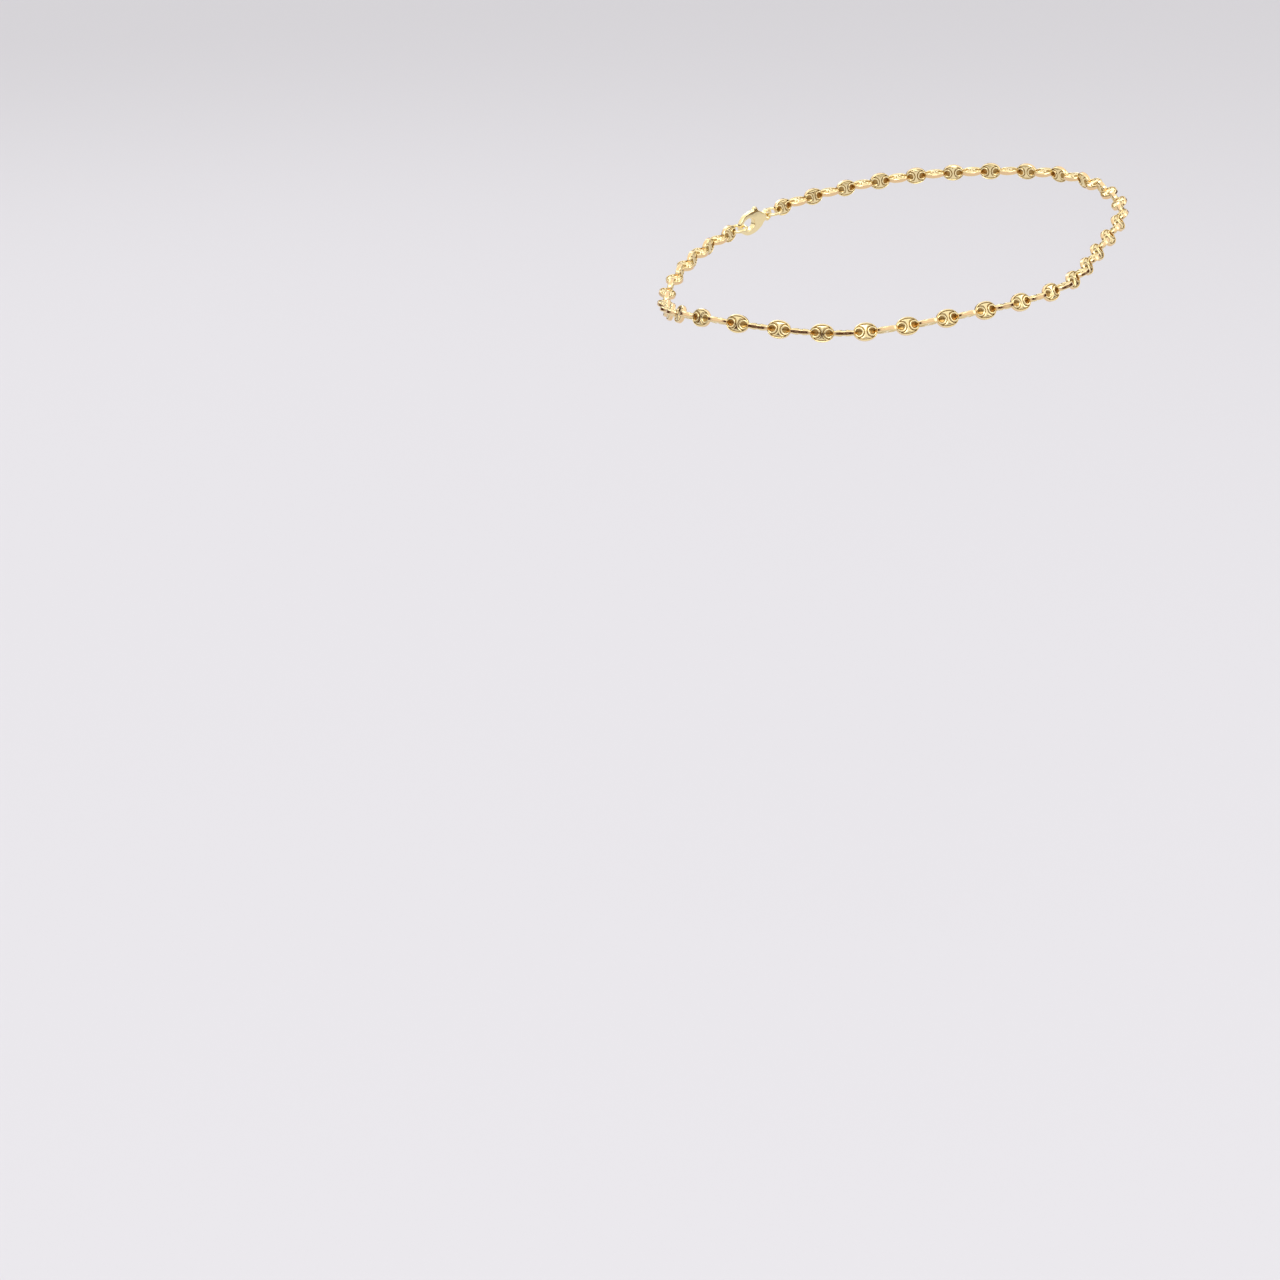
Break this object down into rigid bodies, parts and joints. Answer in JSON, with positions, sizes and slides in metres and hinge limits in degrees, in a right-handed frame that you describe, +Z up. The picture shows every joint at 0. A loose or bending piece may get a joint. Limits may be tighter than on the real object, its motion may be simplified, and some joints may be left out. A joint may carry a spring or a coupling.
{
  "type": "puffed mariner chain anklet",
  "caption": "Fine gold anklet of puffed oval links, each with a bar between round holes, laid flat and on edge by turns round an open ankle and shut by a lobster clasp",
  "frame": {"origin": "middle of the loop, where the ankle passes through", "axes": "+Z up the leg, +X to the heel, -X to the toes, +Y to the inner side of the ankle, where the clasp is"},
  "size_m": [0.0937, 0.0724, 0.0166],
  "materials": {
    "chain_gold": "gold plated, highly polished",
    "clasp_gold": "gold plated, polished casting and drawn wire"
  },
  "bodies": {
    "root": {"link_chain": "chain_gold", "jump_ring_eye_side": "clasp_gold", "lobster_clasp": "clasp_gold", "jump_ring_claw_side": "clasp_gold"}
  },
  "joints": []
}
